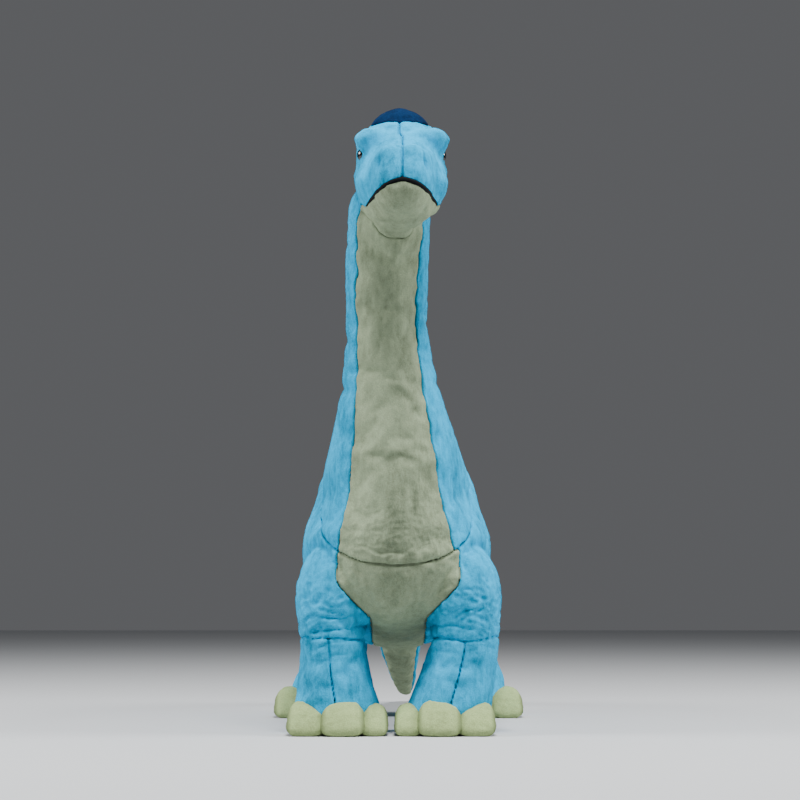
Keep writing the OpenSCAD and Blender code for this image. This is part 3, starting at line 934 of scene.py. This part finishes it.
class MouldSkin(bpy.types.Operator):
    """Stuffs the body, settles its skin and marks its seams and pile"""

    bl_idname = "toy.mould_skin"
    bl_label = "Mould the skin"

    def execute(self, context):
        body = stuffed_body()
        points, edges = points_of(body.data), edges_of(body.data)
        labels, inside = seam_field(panel_at_each(points), edges, 3)
        inflate(body, inside)
        apply_modifier(body, "SUBSURF", levels=sizes().refine, render_levels=sizes().refine)
        self.brush(body.data)
        return {"FINISHED"}

    def brush(self, mesh):
        """Draws the seams in, raises the pile and stores each face's panel."""
        faces, edges, points = faces_of(mesh), edges_of(mesh), points_of(mesh)
        labels, inside = seam_field(panel_at_each(points), edges, 14)
        votes = np.sort(labels[faces], axis=1)
        panel_of_face = np.where(votes[:, 1] == votes[:, 2], votes[:, 1], votes[:, 2])
        points, lips = even_seams(points, panel_of_face, faces, edges)
        set_points(mesh, points)
        lift, seam = relief(points, inside)
        points = points + lift[:, None] * steady_normals(mesh)
        points[:, 2] = np.maximum(points[:, 2], 0.0)
        set_points(mesh, set_eyes_in(points))
        store(mesh, "panel", panel_of_face, "FACE")
        # the seam attribute carries painted shade along seams, nostril creases and leg folds
        store(mesh, "seam", seam)
        store(mesh, "lips", lips)


class LineMouth(bpy.types.Operator):
    """Sews the black felt lining into the mouth, its black painted shade of the slit"""

    bl_idname = "toy.line_mouth"
    bl_label = "Line the mouth"

    def execute(self, context):
        felt_lining()
        return {"FINISHED"}


class SewSides(bpy.types.Operator):
    """Sews the blue side panels of the head, neck, body and tail"""

    bl_idname = "toy.sew_sides"
    bl_label = "Sew the sides"

    def execute(self, context):
        sew(BLUE_PANELS)
        return {"FINISHED"}


class SewUnderside(bpy.types.Operator):
    """Sews the grey jaw, throat and belly panels and the underside of the tail"""

    bl_idname = "toy.sew_underside"
    bl_label = "Sew the underside"

    def execute(self, context):
        sew(GREY_PANELS)
        return {"FINISHED"}


class SewBack(bpy.types.Operator):
    """Sews the navy crown and the stripe down the neck, back and tail"""

    bl_idname = "toy.sew_back"
    bl_label = "Sew the crown and back"

    def execute(self, context):
        sew(NAVY_PANELS)
        return {"FINISHED"}


class SewLegs(bpy.types.Operator):
    """Sews the two halves of each leg, and the soles"""

    bl_idname = "toy.sew_legs"
    bl_label = "Sew the legs and soles"

    def execute(self, context):
        sew(LEG_PANELS + SOLES)
        return {"FINISHED"}


class StuffToes(bpy.types.Operator):
    """Stuffs the three toes of each foot"""

    bl_idname = "toy.stuff_toes"
    bl_label = "Stuff the toes"

    def execute(self, context):
        for leg in LEGS:
            self.one_foot(leg)
        return {"FINISHED"}

    def one_foot(self, leg):
        block = copy_of(leg + "_toe", [leg + "_toes"])
        select_only(block)
        bpy.ops.object.mode_set(mode="EDIT")
        bpy.ops.mesh.separate(type="LOOSE")
        bpy.ops.object.mode_set(mode="OBJECT")
        toes = sorted(bpy.context.selected_objects, key=lambda toe: points_of(toe.data)[:, 0].mean())
        for number, toe in enumerate(toes, 1):
            toe.name = "plush_" + leg + "_toe_" + str(number)
            self.stuff(toe, number)
            paint(toe, plush_finishes()["cream_plush"])
            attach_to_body(toe, leg + "_leg")
            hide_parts(leg + "_toes")

    def stuff(self, toe, number):
        remesh(toe, 1.3 * MM)
        edges = edges_of(toe.data)
        set_points(toe.data, relax(points_of(toe.data), edges, 5))
        points = points_of(toe.data) + 0.7 * MM * points_of(toe.data, "normal")
        middle = (points[:, 0].min() + points[:, 0].max()) / 2
        half = (points[:, 0].max() - points[:, 0].min()) / 2
        back, tall = points[:, 1].max(), points[:, 2].max()
        # the toes sag to a flat, wide foot, and are sewn side by side, so each reaches its neighbour
        low_down = np.clip(1 - points[:, 2] / (0.55 * tall), 0, 1)
        across = (points[:, 0] - middle) / half
        high_up = np.clip(points[:, 2] / tall - 0.6, 0, 1)
        points[:, 0] = middle + half * across * (1.10 + 0.24 * low_down ** 1.5 - 0.25 * high_up)
        points[:, 1] = back + (points[:, 1] - back) * (1 + 0.10 * low_down)
        set_points(toe.data, points)
        apply_modifier(toe, "SUBSURF", levels=1, render_levels=1)
        points, normals = points_of(toe.data), points_of(toe.data, "normal")
        nap = noise_at(points, 4 * MM, number) + 0.7 * noise_at(points, 1.8 * MM, 5.0 + number)
        points += (0.22 * MM * nap)[:, None] * normals
        points[:, 2] = np.maximum(points[:, 2], 0.0)
        set_points(toe.data, points)
        # painted shade at the sides of each toe, where it presses against its neighbour
        sides = np.clip((np.abs(points[:, 0] - middle) / half - 0.82) / 0.22, 0, 1)
        store(toe.data, "seam", 0.8 * sides)
        toe.data.polygons.foreach_set("use_smooth", [True] * len(toe.data.polygons))


class SetFace(bpy.types.Operator):
    """Polishes the eyes"""

    bl_idname = "toy.set_face"
    bl_label = "Set the face"

    def execute(self, context):
        acrylic = eye_material()
        for node in ("eye_left", "eye_right"):
            paint(frame["nodes"][node], acrylic)
        return {"FINISHED"}


class SetStage(bpy.types.Operator):
    """Lays the floor, hangs the lights and places the camera"""

    bl_idname = "toy.set_stage"
    bl_label = "Set the stage"

    def execute(self, context):
        self.floor()
        self.lights()
        self.camera(context)
        return {"FINISHED"}

    def floor(self):
        bpy.ops.mesh.primitive_plane_add(size=8.0, location=(0, 0, 0))
        ground = bpy.context.object
        ground.name = "floor"
        material, tree = new_material("Matt white studio paper")
        paper = add_node(tree, "ShaderNodeBsdfPrincipled", {
            "Base Color": linear("#BABCBE"), "Roughness": 0.7, "Specular IOR Level": 0.2})
        add_node(tree, "ShaderNodeOutputMaterial", {"Surface": paper.outputs["BSDF"]})
        paint(ground, material)
        world = bpy.data.worlds.new("Soft studio")
        world.use_nodes = True
        world.node_tree.nodes["Background"].inputs["Color"].default_value = (0.93, 0.95, 1.0, 1)
        world.node_tree.nodes["Background"].inputs["Strength"].default_value = 0.12
        bpy.context.scene.world = world

    def lights(self):
        for name, (place, width, watts) in LAMPS.items():
            lamp = bpy.data.lights.new(name, "AREA")
            lamp.size = width
            lamp.energy = watts
            holder = bpy.data.objects.new(name, lamp)
            holder.location = place
            aim = Vector(LIT_SPOT) - Vector(place)
            holder.rotation_euler = aim.to_track_quat("-Z", "Y").to_euler()
            bpy.context.scene.collection.objects.link(holder)

    def camera(self, context):
        lens = bpy.data.cameras.new("camera")
        lens.lens = CAMERA_LENS
        lens.sensor_width = CAMERA_SENSOR
        holder = bpy.data.objects.new("camera", lens)
        holder.location = CAMERA_PLACE
        holder.rotation_euler = Euler((math.radians(90 + CAMERA_LIFT), 0, 0))
        context.scene.collection.objects.link(holder)
        context.scene.camera = holder


class ToyPanel(bpy.types.Panel):
    """The dinosaur's pieces, in the sidebar."""

    bl_label = "Stuffed dinosaur"
    bl_idname = "VIEW3D_PT_toy"
    bl_space_type = "VIEW_3D"
    bl_region_type = "UI"
    bl_category = "Dinosaur"

    def draw(self, context):
        for group in (context.scene.toy_sizes, context.scene.toy_colours):
            for name in group.bl_rna.properties.keys():
                if name not in ("rna_type", "name"):
                    self.layout.prop(group, name)
        for maker in MAKERS:
            self.layout.operator(maker.bl_idname)


MAKERS = (MouldSkin, LineMouth, SewSides, SewUnderside, SewBack, SewLegs, StuffToes, SetFace, SetStage)
CLASSES = (ToyColours, ToySizes) + MAKERS + (ToyPanel,)


def register():
    for cls in CLASSES:
        bpy.utils.register_class(cls)
    bpy.types.Scene.toy_sizes = PointerProperty(type=ToySizes)
    bpy.types.Scene.toy_colours = PointerProperty(type=ToyColours)


def unregister():
    del bpy.types.Scene.toy_colours
    del bpy.types.Scene.toy_sizes
    for cls in reversed(CLASSES):
        bpy.utils.unregister_class(cls)


def main():
    register()
    bpy.ops.toy.set_stage()
    bpy.ops.toy.mould_skin()
    bpy.ops.toy.line_mouth()
    bpy.ops.toy.sew_sides()
    bpy.ops.toy.sew_underside()
    bpy.ops.toy.sew_back()
    bpy.ops.toy.sew_legs()
    bpy.data.objects.remove(moulded_skin())
    bpy.ops.toy.stuff_toes()
    bpy.ops.toy.set_face()


if __name__ == "__main__":
    main()
